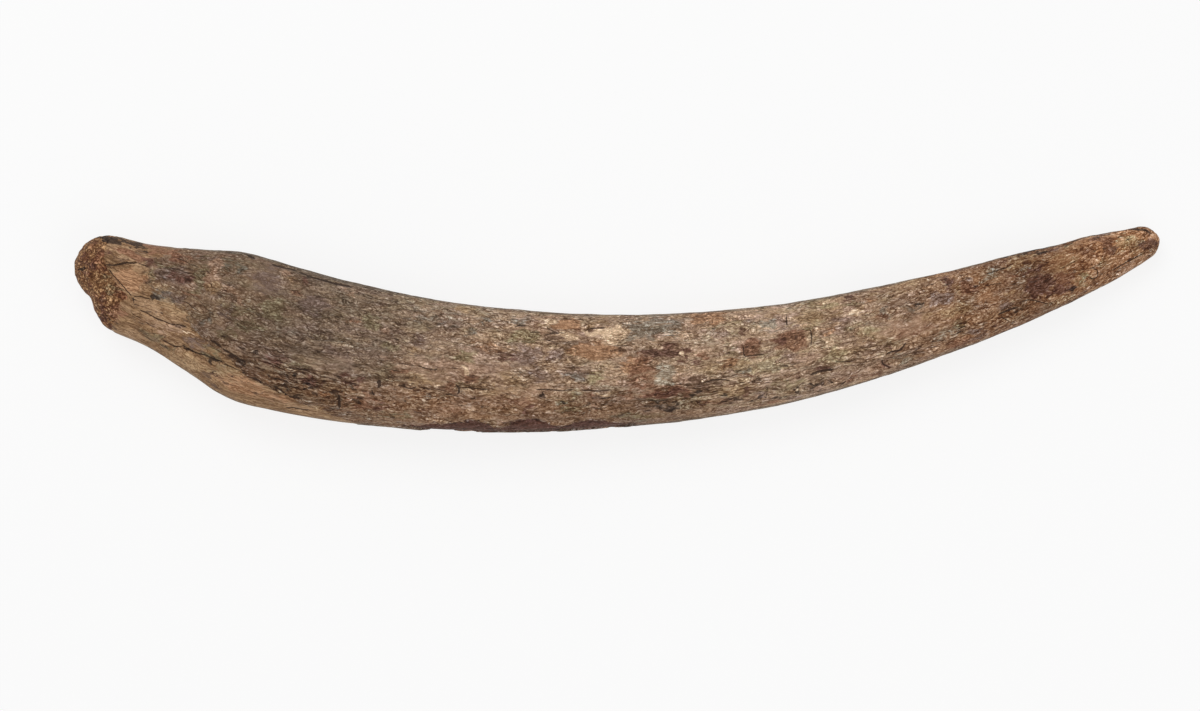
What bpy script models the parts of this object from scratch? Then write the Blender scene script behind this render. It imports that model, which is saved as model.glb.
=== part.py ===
"""Fossil walrus tusk, lying on its side: one natural piece, so one solid.

The tusk is shaped straight first, in three directions: along it from the root end, across it
towards the inside of its bend, and up. Bending it round a circle comes last. A place round the
tusk is an angle: 0 faces the inside of the bend, 90 up, 180 the outside and 270 down.
"""

import math

import bmesh
import bpy
from mathutils import Vector, noise

MM = 0.001

# Driving dimensions
TUSK_LENGTH = 623 * MM  # measured round the bend
BEND_RADIUS = 706.5 * MM  # of the circle that the middle of the tusk follows
BEND_LOWEST = 287 * MM  # how far along the outside of the bend reaches furthest
ROOT_ROUND = 20 * MM  # how much of the length the rounded root end takes
TIP_ROUND = 8 * MM
ROOT_POLE = 8 * MM  # where the root end closes, across from the middle
TIP_POLE = -3.5 * MM
OVAL_POWER = 2.25  # 2 is an ellipse, and more has flatter sides

# How far the ivory reaches from its middle line, in mm: along, inside, outside, half thickness
REACH = (
    (0, 26.0, 12.0, 19.0),
    (16, 26.2, 12.0, 19.5),
    (22, 26.4, 18.2, 20.0),
    (28, 26.9, 23.0, 20.4),
    (35, 27.7, 24.5, 20.8),
    (48, 30.5, 25.0, 21.4),
    (60, 32.6, 26.9, 22.0),
    (72, 35.4, 29.9, 23.2),
    (84, 38.0, 33.6, 24.3),
    (96, 39.3, 37.7, 25.2),
    (110, 39.2, 40.4, 25.8),
    (126, 38.3, 40.4, 26.0),
    (150, 36.8, 39.8, 26.0),
    (200, 34.6, 37.2, 25.0),
    (300, 30.4, 31.8, 22.5),
    (400, 26.8, 27.1, 19.5),
    (480, 24.0, 21.4, 16.8),
    (520, 21.2, 18.6, 15.2),
    (543, 19.0, 17.4, 14.2),
    (559, 16.9, 16.3, 13.4),
    (571, 14.7, 15.5, 12.8),
    (587, 13.2, 14.7, 11.8),
    (599, 10.4, 13.7, 10.3),
    (611, 7.2, 12.5, 8.6),
    (623, 4.4, 11.2, 6.8),
)

# Height of the ivory's underside in mm: along, height. The outer layer reaches below it, and
# whatever would be below 0 is worn flat, which makes the three rests.
UNDERSIDE = ((0, 1.2), (31, -0.6), (60, 0.9), (140, 1.9), (285, 0.3), (430, 1.9), (573, 0.3), (623, 2.0))

# Where the rough outer layer starts, and its thickness there: degrees round, mm along, mm thick
BARK_EDGE = (
    (0, 58, 1.0),
    (20, 55, 1.0),
    (38, 50, 0.9),
    (46, 42, 0.9),
    (57, 41, 1.0),
    (72, 45, 1.1),
    (80, 50, 1.1),
    (89, 62, 1.1),
    (95, 75, 1.2),
    (103, 79, 1.3),
    (108, 85, 1.4),
    (112, 97, 1.5),
    (117, 106, 1.5),
    (123, 112, 1.5),
    (128, 125, 1.5),
    (136, 138, 1.3),
    (146, 151, 0.9),
    (160, 166, 0.4),
    (185, 172, 0.3),
    (215, 146, 0.9),
    (245, 100, 1.1),
    (285, 74, 1.1),
    (325, 62, 1.0),
    (360, 58, 1.0),
)
BARK_RAGGED = 4.0 * MM  # how far its edge strays
BARK_STEP = 1.6 * MM  # the length over which it reaches its thickness

# Where the spongy core at the root end stops, in a crease: degrees round, mm along, mm deep
CORE_EDGE = (
    (0, 18, 0.2),
    (40, 16, 0.2),
    (62, 16, 0.3),
    (79, 19, 0.8),
    (86, 25, 1.1),
    (97, 37.5, 1.1),
    (107, 35, 0.6),
    (124, 35.7, 0.4),
    (151, 34.3, 0.4),
    (190, 33, 0.5),
    (240, 28, 0.6),
    (300, 22, 0.4),
    (360, 18, 0.2),
)
CREASE_STEP = 1.0 * MM  # the length over which it rises to the ivory
CORE_LUMP_SIZE = 7 * MM
CORE_LUMP_HEIGHT = 1.5 * MM

# A flat chip off the upper face beside the core
CHIP = {
    "along": 32 * MM,
    "across": 7 * MM,
    "reach": 12 * MM,  # to each end of it
    "depth": 1.1 * MM,
    "slope": 0.05,  # its rise towards the tip
    "lean": 0.14,  # its fall towards the inside of the bend
}

# Drying cracks: course as (mm along, degrees round), and depth in mm
CRACKS = (
    (((22, 72), (27, 63), (33, 56), (47, 50)), 2.0),
    (((41, 109), (56, 112), (62, 112), (72, 108)), 2.4),
    (((58, 138), (66, 138), (72, 135), (80, 132), (96, 125)), 1.8),
    (((186, 108), (210, 108), (225, 105), (246, 104), (276, 104), (314, 107)), 1.1),
    (((44, 226), (70, 230), (104, 222)), 2.0),
    (((36, 292), (60, 294), (88, 290)), 1.8),
)
CRACK_WIDTH = 1.3 * MM
CRACK_FADE = 8 * MM  # over which a crack opens at its ends

# The scalloped edge of a strip flaked off the outside of the bend: mm along, degrees round
STRIP_EDGE = (
    (206, 158),
    (213, 149),
    (220, 153),
    (227, 141),
    (234, 136),
    (240, 139),
    (247, 153),
    (255, 136),
    (262, 128),
    (269, 136),
    (276, 152),
    (284, 151),
    (290, 144),
    (297, 143),
    (304, 149),
    (313, 157),
)
STRIP_END = 184  # degrees, where the strip runs out
STRIP_DEPTH = 1.3 * MM
STRIP_STEP = 0.7 * MM

# Lengthwise flutes: degrees round, first and last mm along, depth in mm; a ridge is below 0
FLUTES = (
    (62, 150, 540, 0.6),
    (92, 200, 420, 0.45),
    (128, 330, 560, 0.7),
    (228, 120, 540, 0.7),
    (302, 160, 600, 0.6),
    (112, 560, 616, -0.7),
    (132, 556, 612, 0.8),
)
FLUTE_WIDTH = 8.0  # degrees to each side
FLUTE_FADE = 24  # mm

# Shallow beds left by flakes of the outer layer: middle and half length in mm along, middle and
# half width in degrees round, and depth in mm
FLAKE_BEDS = (
    (279, 17, 42, 13, 0.8),
    (303, 19, 55, 11, 0.8),
    (346, 13, 84, 18, 0.6),
    (549, 11, 88, 26, 0.9),
    (470, 26, 92, 17, 0.5),
    (395, 26, 286, 18, 0.7),
    (210, 26, 318, 16, 0.7),
)

# Broad unevenness of the whole surface
LUMP_SIZE = Vector((40, 16, 16)) * MM
LUMP_HEIGHT = 0.9 * MM

# The grain that weathering brought out, long and narrow, on each kind of surface
GRAIN_SIZE = Vector((60, 8, 8)) * MM
GRAIN_HEIGHT = {"core": 0.0, "crease": 0.0, "ivory": 0.4 * MM, "bark": 1.3 * MM}

# The faceted skin: rings along it, gathered at the edges of the core and the outer layer
COLUMNS = 48
CORE_RINGS = 13
BARE_RINGS = 16
BODY_RINGS = 60
BODY_SPREAD = 1.1  # above 1, the rings come closer together towards the root
TIP_RINGS = 7
GATHER_FADE = 24 * MM  # over which the columns gather before a crack starts
GATHER_REACH = 44  # degrees to each side over which they make way

IVORY_COLOUR = (0.26, 0.185, 0.125, 1.0)
IVORY_ROUGHNESS = 0.82


def clear_scene():
    for obj in list(bpy.data.objects):
        bpy.data.objects.remove(obj)


def ease(share):
    """From 0 to 1 with level ends."""
    share = min(1.0, max(0.0, share))
    return share * share * (3 - 2 * share)


def through(stations, at, column=1):
    """The value at a place on the smooth curve through the stations' values in that column."""
    at = min(max(at, stations[0][0]), stations[-1][0])
    last = len(stations) - 1
    i = max(k for k in range(last) if stations[k][0] <= at)

    def slope(k):
        before, after = stations[max(k - 1, 0)], stations[min(k + 1, last)]
        return (after[column] - before[column]) / (after[0] - before[0])

    start, end = stations[i], stations[i + 1]
    span = end[0] - start[0]
    t = (at - start[0]) / span
    rise = end[column] - start[column]
    first, second = slope(i) * span, slope(i + 1) * span
    return (
        start[column]
        + first * t
        + (3 * rise - 2 * first - second) * t**2
        + (first + second - 2 * rise) * t**3
    )


def signed_power(value, power):
    return math.copysign(abs(value) ** power, value)


def degrees_between(a, b):
    return (a - b + 180) % 360 - 180


def end_rounding(along):
    """1 over the body, falling to 0 where each end closes."""
    for distance, reach in ((along, ROOT_ROUND), (TUSK_LENGTH - along, TIP_ROUND)):
        if distance < reach:
            return math.sqrt(max(0.0, 1 - (1 - distance / reach) ** 2))
    return 1.0


def oval_point(along, around):
    """The ivory's smooth surface, and the point on its spine that it bulges from, both straight."""
    inside, outside, half_thick = (through(REACH, along / MM, k) * MM for k in (1, 2, 3))
    rounding = end_rounding(along)
    pole = ROOT_POLE if along < TUSK_LENGTH / 2 else TIP_POLE
    high = pole + (inside - pole) * rounding
    low = pole - (outside + pole) * rounding
    lift = through(UNDERSIDE, along / MM) * MM
    turn = math.radians(around)
    across = (high + low) / 2 + (high - low) / 2 * signed_power(math.cos(turn), 2 / OVAL_POWER)
    up = lift + half_thick * (1 + rounding * signed_power(math.sin(turn), 2 / OVAL_POWER))
    spine_along = min(max(along, ROOT_ROUND), TUSK_LENGTH - TIP_ROUND)
    return Vector((along, across, up)), Vector((spine_along, (high + low) / 2, lift + half_thick))


def bark_edge(around):
    turn = math.radians(around)
    ragged = noise.fractal(Vector((3.5 * math.cos(turn), 3.5 * math.sin(turn), 3.1)), 0.7, 2.1, 3)
    return through(BARK_EDGE, around % 360) * MM + ragged * BARK_RAGGED


def core_edge(around):
    return through(CORE_EDGE, around % 360) * MM


def ring_places(around):
    """How far along each ring crosses this side of the tusk, and what covers the ivory there."""
    quarter = math.pi / 2
    core, bark = core_edge(around), bark_edge(around)
    bare = core + CREASE_STEP
    body_end = TUSK_LENGTH - TIP_ROUND
    places = [(core * (1 - math.cos(quarter * k / CORE_RINGS)), "core") for k in range(1, CORE_RINGS)]
    places.append((core, "crease"))
    bare_step = (bark - bare) / BARE_RINGS
    places += [(bare + bare_step * k, "ivory") for k in range(BARE_RINGS + 1)]
    body = body_end - bark - BARK_STEP
    places += [
        (bark + BARK_STEP + body * (k / BODY_RINGS) ** BODY_SPREAD, "bark")
        for k in range(BODY_RINGS + 1)
    ]
    places += [
        (body_end + TIP_ROUND * math.sin(quarter * k / (TIP_RINGS + 1)), "bark")
        for k in range(1, TIP_RINGS + 1)
    ]
    return places


RING_COUNT = len(ring_places(0))


def opening(course, along):
    """1 along a crack or a strip, falling to 0 at its ends."""
    start, end = course[0][0] * MM, course[-1][0] * MM
    return ease((along - start) / CRACK_FADE) * ease((end - along) / CRACK_FADE)


def gathering(course, along):
    """1 all along a crack or a strip, falling to 0 beyond its ends."""
    start, end = course[0][0] * MM, course[-1][0] * MM
    return ease(1 - (start - along) / GATHER_FADE) * ease(1 - (along - end) / GATHER_FADE)


def seam_column(course):
    """The column that lies nearest to a course's middle."""
    angles = [station[1] for station in course]
    return round((min(angles) + max(angles)) / 2 * COLUMNS / 360)


def girth_degrees(along, length):
    return math.degrees(length / (through(REACH, along / MM, 3) * MM))


def make_way(column, along):
    """The angle of a column once the columns round each seam have moved over to it."""
    base = column * 360 / COLUMNS
    angle = base
    for course in [crack[0] for crack in CRACKS] + [STRIP_EDGE]:
        seam = seam_column(course) * 360 / COLUMNS
        away = abs(degrees_between(base, seam)) / GATHER_REACH
        if away < 1:
            shift = through(course, along / MM) - seam
            angle += shift * gathering(course, along) * math.cos(away * math.pi / 2) ** 2
    return angle


def seamed(column, along):
    """The angle of a column, and how deep the cracks and the flaked strip take it."""
    angle = make_way(column, along)
    depth = 0.0
    for course, crack_depth in CRACKS:
        side = column - seam_column(course)
        if abs(side) <= 1:
            crack = through(course, along / MM) + side * girth_degrees(along, CRACK_WIDTH / 2)
            angle += (crack - angle) * gathering(course, along)
            depth += crack_depth * MM * opening(course, along) * (side == 0)
    side = column - seam_column(STRIP_EDGE)
    if 0 <= side <= 1:
        edge = through(STRIP_EDGE, along / MM) + side * girth_degrees(along, STRIP_STEP)
        angle += (edge - angle) * gathering(STRIP_EDGE, along)
    if 1 <= side <= 8:
        depth += STRIP_DEPTH * opening(STRIP_EDGE, along) * ease((STRIP_END - angle) / 22)
    return angle, depth


def flake_depth(along, around):
    deepest = 0.0
    for middle, half_length, angle, half_width, depth in FLAKE_BEDS:
        along_share = (along / MM - middle) / half_length
        around_share = degrees_between(around, angle) / half_width
        inside = 1 - math.hypot(along_share, around_share)
        deepest = max(deepest, depth * MM * ease(inside / 0.4))
    return deepest


def flute_depth(along, around):
    total = 0.0
    for angle, first, last, depth in FLUTES:
        wander = 5 * noise.noise(Vector((along / MM / 120, angle, 0.4)))
        off = degrees_between(around, angle + wander) / FLUTE_WIDTH
        present = ease((along / MM - first) / FLUTE_FADE) * ease((last - along / MM) / FLUTE_FADE)
        total += depth * MM * present * math.exp(-off * off)
    return total


def chipped(point):
    """The upper face cut back to the chip's plane, within the chip's reach."""
    at, spine = oval_point(CHIP["along"], 90)
    half_across = (oval_point(CHIP["along"], 0)[0] - spine).y
    share = abs((CHIP["across"] - spine.y) / half_across) ** OVAL_POWER
    crown = spine.z + (at.z - spine.z) * (1 - share) ** (1 / OVAL_POWER)
    plane = (
        crown
        - CHIP["depth"]
        + CHIP["slope"] * (point.x - CHIP["along"])
        - CHIP["lean"] * (point.y - CHIP["across"])
    )
    away = abs(point.x - CHIP["along"]) / CHIP["reach"]
    cut = max(0.0, point.z - plane) * ease((1.2 - away) / 0.2)
    return point - Vector((0, 0, cut))


def unevenness(point, size, octaves):
    at = Vector((point.x / size.x, point.y / size.y, point.z / size.z))
    return noise.fractal(at, 0.9, 2.0, octaves)


def surface_point(along, around, cover, seam_depth):
    """The finished surface of the straight tusk."""
    point, spine = oval_point(along, around)
    quiet = 1 - 0.7 * max(0.0, -math.sin(math.radians(around)))
    height = quiet * LUMP_HEIGHT * unevenness(point, LUMP_SIZE, 3)
    height += quiet * GRAIN_HEIGHT[cover] * unevenness(point, GRAIN_SIZE, 2)
    height -= flake_depth(along, around) + flute_depth(along, around) + seam_depth
    if cover == "bark":
        height += through(BARK_EDGE, around % 360, 2) * MM * end_rounding(along)
    elif cover == "core":
        height += CORE_LUMP_HEIGHT * noise.fractal(point / CORE_LUMP_SIZE, 0.9, 2.1, 3)
    elif cover == "crease":
        height -= through(CORE_EDGE, around % 360, 2) * MM
    point += (point - spine).normalized() * height
    return chipped(point) if cover == "ivory" else point


def bent(point):
    """Wraps the straight tusk round the circle of its bend, and wears its underside flat."""
    turn = (point.x - BEND_LOWEST) / BEND_RADIUS
    radius = BEND_RADIUS - point.y
    up = max(0.0, point.z)
    return Vector((radius * math.sin(turn), BEND_RADIUS - radius * math.cos(turn), up))


def shape_tusk():
    """Draws a sphere's rings and columns out along the tusk."""
    bm = bmesh.new()
    bmesh.ops.create_uvsphere(bm, u_segments=COLUMNS, v_segments=RING_COUNT + 1, radius=1)
    for vert in bm.verts:
        ring = round(math.acos(max(-1.0, min(1.0, vert.co.z))) / math.pi * (RING_COUNT + 1))
        column = round(math.atan2(vert.co.y, vert.co.x) / math.tau * COLUMNS) % COLUMNS
        if ring == 0:
            straight = surface_point(0.0, 0.0, "core", 0.0)
        elif ring > RING_COUNT:
            straight = surface_point(TUSK_LENGTH, 0.0, "bark", 0.0)
        else:
            along, cover = ring_places(column * 360 / COLUMNS)[ring - 1]
            around, depth = seamed(column, along)
            straight = surface_point(along, around, cover, depth)
        vert.co = bent(straight)
    bmesh.ops.reverse_faces(bm, faces=bm.faces)  # the map from the sphere mirrors it
    return bm


def centre_over_origin(bm):
    """The origin lies under the middle of the tusk's box, on the surface that it rests on."""
    for axis in (0, 1):
        values = [vert.co[axis] for vert in bm.verts]
        middle = (min(values) + max(values)) / 2
        for vert in bm.verts:
            vert.co[axis] -= middle


def ivory_material():
    material = bpy.data.materials.new("fossil_ivory")
    material.use_nodes = True
    shader = material.node_tree.nodes["Principled BSDF"]
    shader.inputs["Base Color"].default_value = IVORY_COLOUR
    shader.inputs["Roughness"].default_value = IVORY_ROUGHNESS
    shader.inputs["Metallic"].default_value = 0.0
    material.diffuse_color = IVORY_COLOUR
    return material


def build_tusk():
    bm = shape_tusk()
    centre_over_origin(bm)
    mesh = bpy.data.meshes.new("tusk")
    bm.to_mesh(mesh)
    bm.free()
    mesh.shade_smooth()
    mesh.set_sharp_from_angle(angle=math.radians(40))
    tusk = bpy.data.objects.new("tusk", mesh)
    bpy.context.scene.collection.objects.link(tusk)
    mesh.materials.append(ivory_material())
    return tusk


clear_scene()
build_tusk()
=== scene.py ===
import math
import random

import bpy
import numpy as np
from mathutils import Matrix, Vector, noise


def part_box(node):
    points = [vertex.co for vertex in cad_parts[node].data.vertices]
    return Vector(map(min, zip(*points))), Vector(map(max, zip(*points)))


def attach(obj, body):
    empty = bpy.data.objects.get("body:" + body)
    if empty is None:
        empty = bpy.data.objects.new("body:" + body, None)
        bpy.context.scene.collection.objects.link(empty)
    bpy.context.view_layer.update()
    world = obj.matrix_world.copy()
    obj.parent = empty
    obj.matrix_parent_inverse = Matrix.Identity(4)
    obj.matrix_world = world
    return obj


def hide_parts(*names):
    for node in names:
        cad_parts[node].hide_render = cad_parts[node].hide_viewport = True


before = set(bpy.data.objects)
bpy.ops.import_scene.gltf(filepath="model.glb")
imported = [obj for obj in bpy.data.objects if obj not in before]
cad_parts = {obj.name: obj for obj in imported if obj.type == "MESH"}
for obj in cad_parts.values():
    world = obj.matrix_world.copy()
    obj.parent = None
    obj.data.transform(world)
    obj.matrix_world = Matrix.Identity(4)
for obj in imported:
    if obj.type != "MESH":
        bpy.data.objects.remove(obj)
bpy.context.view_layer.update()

mm = 0.001
quarterTurn = math.pi / 2

# the camera that looks straight down, and the height at which its pixels are turned into mm
overhead = {
    "lens": 85.0,
    "sensor": 36.0,
    "place": (-0.0099, -0.0152, 1.59),
    "viewSize": (1200, 711),
    "pixelHeight": 0.025,
}
# how many pixels of the view a metre takes up, a metre away from the camera
viewScale = overhead["lens"] / overhead["sensor"] * overhead["viewSize"][0]

# The straight tusk first: x runs along it from the root, y across towards the inside of the
# bend, z up. Round it, 0 degrees faces the inside, 90 up, 180 the outside and 270 down.
tusk = {
    "length": 623.0,
    "bendRadius": 706.5,
    "bendLowest": 287.0,
    "originShift": (23.825, 24.009),
    "rootRound": 20.0,
    "tipRound": 8.0,
    "rootPole": 8.0,
    "tipPole": -3.5,
    "ovalPower": 2.25,
    "columns": 192,
    "rings": 500,
    "rootRings": 30,
    "tipRings": 12,
    "ringStep": ((20, 0.95), (170, 1.0), (200, 1.45), (560, 1.55), (615, 1.3)),
    "topDenser": 0.22,
    "barkStep": 1.3,
}

# along, reach to the inside, reach to the outside, half thickness
reach = (
    (0, 26.0, 12.0, 19.0), (16, 26.2, 12.0, 19.5), (22, 26.4, 18.2, 20.0),
    (28, 26.9, 23.0, 20.4), (35, 27.7, 24.5, 20.8), (48, 30.5, 25.0, 21.4),
    (60, 32.6, 26.9, 22.0), (72, 35.4, 29.9, 23.2), (84, 38.0, 33.6, 24.3),
    (96, 39.3, 37.7, 25.2), (110, 39.2, 40.4, 25.8), (126, 38.3, 40.4, 26.0),
    (150, 36.8, 39.8, 26.0), (200, 34.6, 37.2, 25.0), (300, 30.4, 31.8, 22.5),
    (400, 26.8, 26.7, 19.5), (480, 24.0, 20.7, 16.8), (520, 21.2, 18.6, 15.2),
    (543, 19.0, 17.4, 14.2), (559, 16.9, 16.3, 13.4), (571, 14.7, 15.5, 12.8),
    (587, 12.6, 14.7, 11.8), (599, 9.4, 13.7, 10.3), (611, 6.1, 12.5, 8.6),
    (623, 3.6, 11.2, 6.8),
)
# along, height of the underside
underside = (
    (0, 1.2), (31, -0.6), (60, 0.9), (140, 1.9), (285, 0.3), (430, 1.9), (573, 0.3), (623, 2.0),
)

# degrees round, where the outer layer starts along the tusk, its thickness there
barkEdge = (
    (0, 58, 1.0), (20, 55, 1.0), (38, 50, 0.9), (46, 42, 0.9), (57, 41, 1.0), (72, 45, 1.1),
    (80, 50, 1.1), (89, 62, 1.1), (95, 75, 1.2), (103, 79, 1.3), (108, 85, 1.4), (112, 97, 1.5),
    (117, 106, 1.5), (123, 112, 1.5), (128, 125, 1.5), (136, 138, 1.3), (146, 151, 0.9),
    (160, 166, 0.4), (185, 172, 0.3), (215, 146, 0.9), (245, 100, 1.1), (285, 74, 1.1),
    (325, 62, 1.0), (360, 58, 1.0),
)
# degrees round, where the spongy core stops, depth of the crease there
coreEdge = (
    (0, 18, 0.2), (40, 16, 0.2), (62, 16, 0.3), (79, 19, 0.8), (86, 25, 1.1), (97, 37.5, 1.1),
    (107, 35, 0.6), (124, 35.7, 0.4), (151, 34.3, 0.4), (190, 33, 0.5), (240, 28, 0.6),
    (300, 22, 0.4), (360, 18, 0.2),
)

# a shallow chip in the bare ivory: its middle, half length and depth, and how its bottom tilts
chip = {"along": 32.0, "across": 7.0, "reach": 12.0, "depth": 1.1, "slope": 0.05, "lean": 0.14}

# Lines seen from above, in the view's pixels: width and depth in mm, then the points of each
lines = (
    (1.5, 1.6, (104, 264), (112, 265), (118, 263.5), (126, 261.5), (137, 261.5)),
    (0.7, 0.5, (137, 262), (147, 266)),
    (0.7, 0.5, (107, 268), (112, 275), (120, 284), (131, 296.5)),
    (0.7, 0.5, (131, 298), (134, 296.5), (139, 296), (145, 298), (151, 300)),
    (0.6, 0.4, (132, 297), (133, 303)),
    (0.9, 1.6, (138, 310), (146, 314), (155, 319), (163, 322), (171, 325), (179, 325), (187, 328)),
    (0.4, 0.4, (187, 328), (193, 331), (199, 333)),
    (0.5, 0.6, (130, 313), (137, 317), (142, 318.5)),
    (0.5, 0.6, (143, 321), (149, 326), (156, 328)),
    (0.4, 0.2, (140, 335), (150, 333.5), (158, 335)),
    (0.8, 1.3, (160, 340), (167, 344), (174, 347.5), (182, 347)),
    (1.3, 1.6, (182, 349), (190, 351.5), (196, 354.5), (203, 355.5), (209, 358.5), (216, 361), (224, 362)),
    (0.5, 0.5, (160, 268), (168, 269), (178, 271), (188, 275), (197, 277)),
    (0.4, 0.3, (155, 272), (163, 280), (169, 284)),
    (0.35, 0.3, (184, 291), (198, 300), (205, 308), (211, 313)),
    (0.5, 0.5, (180, 301), (187, 303), (193, 308), (200, 312)),
    (0.5, 0.4, (172, 258), (182, 261), (192, 266), (199, 271)),
    (2.0, 1.8, (210, 339), (216, 342.5), (222, 346.5)),
    (1.2, 1.6, (222, 347), (229, 351), (237, 356), (246, 363)),
    (0.7, 0.8, (226, 352), (234, 357), (243, 364), (247, 367)),
    (0.8, 0.8, (221, 364), (230, 367), (240, 371), (249, 372)),
    (2.2, 1.6, (252, 376), (257, 379), (262, 382)),
    (1.0, 1.0, (262, 382), (268, 385), (274, 388)),
    (1.3, 1.6, (273, 384), (280, 388), (287, 393), (296, 395.5), (303, 396)),
    (0.8, 0.9, (284, 408), (292, 408), (300, 410), (310, 411)),
    (2.6, 2.2, (338.5, 394.5), (339, 400), (339.5, 406)),
    (0.9, 0.9, (288, 366.5), (298, 368), (311, 369)),
    (0.6, 0.6, (286, 363), (276, 361)),
    (0.4, 0.3, (312, 340), (318, 341), (332, 341), (346, 342)),
    (3.0, 1.2, (378.5, 381.5), (379, 384.5)),
    (1.8, 1.0, (372, 390.5), (373, 392)),
    (1.6, 0.8, (246, 257.5), (254, 260.5)),
    (1.3, 0.6, (270, 266), (285, 269.5), (297, 273)),
    (1.6, 0.6, (297, 273.5), (308, 277.5), (320, 281.5), (335, 285.5), (352, 289)),
    (0.6, 0.6, (396, 384), (402, 386), (410, 388), (418, 386.5)),
    (0.5, 0.5, (418, 386.5), (426, 388), (436, 388.5), (447, 390)),
    (0.5, 0.4, (396, 363), (406, 364.5), (416, 366)),
    (0.7, 0.6, (416, 366), (424, 368), (431, 369.5), (439, 370)),
    (0.6, 0.6, (448, 367), (454, 368), (461, 368.5)),
    (0.6, 0.5, (384, 369), (392, 370), (401, 372)),
    (0.6, 0.5, (442, 395), (449, 393.5), (455, 395), (461, 396)),
    (1.4, 0.9, (456, 383.5), (458.5, 387), (459, 391), (457, 393.5)),
    (0.5, 0.5, (424, 395), (434, 396.5)),
    (0.7, 0.7, (462, 387), (472, 387), (480, 388), (491, 388)),
    (0.7, 0.7, (535, 388.5), (550, 389), (562, 390), (575, 389)),
    (0.7, 0.7, (580, 389.5), (590, 390), (600, 390), (613, 388.5)),
    (1.0, 0.7, (514, 327), (520, 326.5), (527, 327)),
    (0.6, 0.4, (530, 333), (541, 333.5)),
    (0.7, 0.6, (544, 335), (552, 333), (561, 332)),
    (0.6, 0.5, (544, 339), (552, 342), (561, 345)),
    (0.8, 0.6, (585, 329), (596, 329), (606, 328.5)),
    (0.6, 0.5, (546, 325), (548, 329), (556, 331.5), (567, 332)),
    (0.4, 0.4, (548, 322), (553, 320), (562, 320), (573, 321), (581, 326)),
    (0.6, 0.5, (612, 346), (620, 346), (630, 347)),
    (0.9, 0.7, (600, 397), (604, 396.5), (611, 396)),
    (0.8, 0.6, (702, 382), (712, 379), (722, 378.5), (731, 380)),
    (0.7, 0.5, (743, 345), (744, 350), (744, 358)),
    (0.6, 0.5, (744, 357), (755, 355), (767, 354)),
    (1.1, 0.7, (787, 318), (787, 326)),
    (1.2, 0.7, (811, 330), (812, 338), (811, 346)),
    (0.5, 0.4, (767, 383), (767, 392), (765, 398)),
    (1.8, 1.2, (810, 374), (818, 371), (826, 368.5), (834, 367.5)),
    (1.1, 0.8, (914, 305), (920, 305), (925, 304)),
    (1.1, 0.9, (885, 353), (892, 350), (899, 349), (903, 345), (906, 341)),
    (0.4, 0.3, (909, 313), (918, 313), (927, 312)),
    (1.1, 0.8, (882, 357), (883, 364), (890, 366)),
    (1.1, 0.8, (959, 328), (966, 325)),
    (1.2, 0.7, (957, 332.5), (962, 331)),
    (0.6, 0.5, (929, 341), (940, 340), (948, 339)),
    (0.6, 0.5, (929, 347), (938, 346)),
    (0.5, 0.4, (834, 361), (845, 360), (855, 359)),
    (0.6, 0.5, (984, 276), (993, 273), (1000, 271), (1010, 267)),
    (0.5, 0.4, (984, 287), (995, 285), (1004, 284)),
    (1.6, 1.0, (998, 313.5), (1006, 310), (1012, 308), (1018, 306)),
    (0.8, 0.6, (1002, 316), (1009, 319)),
    (0.7, 0.5, (1021, 301), (1030, 299), (1040, 300), (1049, 302)),
    (0.9, 0.8, (1111, 270), (1120, 265), (1128, 260), (1136, 256), (1144, 252)),
    (0.7, 0.5, (1089, 270), (1093, 267.5), (1098, 270), (1098, 276), (1093, 278.5), (1089, 275)),
    (1.2, 0.5, (1040, 251), (1056, 246), (1072, 242), (1084, 238), (1092, 236)),
    (1.4, 0.5, (1092, 236.5), (1112, 233), (1130, 230.5), (1145, 230.5), (1153, 235)),
)
# lines on the sides and below: width, depth, then along and degrees round
lowLines = (
    (1.0, 0.9, (92, 350), (130, 352), (175, 348), (226, 352)),
    (1.3, 2.0, (44, 226), (70, 230), (104, 222)),
    (1.3, 1.8, (36, 292), (60, 294), (88, 290)),
    (0.9, 1.0, (150, 262), (240, 258), (330, 263), (380, 261)),
    (1.0, 1.0, (420, 232), (470, 228), (520, 231)),
    (0.8, 0.8, (210, 318), (260, 322), (300, 320)),
)
# how many mm to each side of a line the finish still knows of it
lineReach = 1.9

# the scalloped strip on the outside of the bend: along, degrees round of its upper edge
stripEdge = (
    (206, 158), (212, 149), (219, 148), (226, 143), (234, 140), (241, 145), (247, 155), (252, 146),
    (258, 137), (265, 136), (271, 142), (278, 152), (285, 149), (291, 143), (298, 142), (305, 147),
    (313, 157),
)
strip = {"from": 198, "to": 319, "taper": 0.5, "end": 183, "last": 230, "depth": 1.3, "step": 0.7}

# long shallow furrows: degrees round, first and last place along, depth (a ridge where negative)
flutes = (
    (62, 150, 540, 0.6), (92, 200, 420, 0.45), (128, 330, 560, 0.7), (228, 120, 540, 0.7),
    (302, 160, 600, 0.6), (112, 560, 616, -0.7), (132, 556, 612, 0.8),
)
# beds that flakes have left: middle along, half length, degrees round, half width in degrees, depth
flakeBeds = (
    (279, 17, 42, 13, 0.8), (303, 19, 55, 11, 0.8), (346, 13, 84, 18, 0.6),
    (549, 11, 88, 26, 0.9), (470, 26, 92, 17, 0.5), (395, 26, 286, 18, 0.7),
    (210, 26, 318, 16, 0.7),
)
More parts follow.
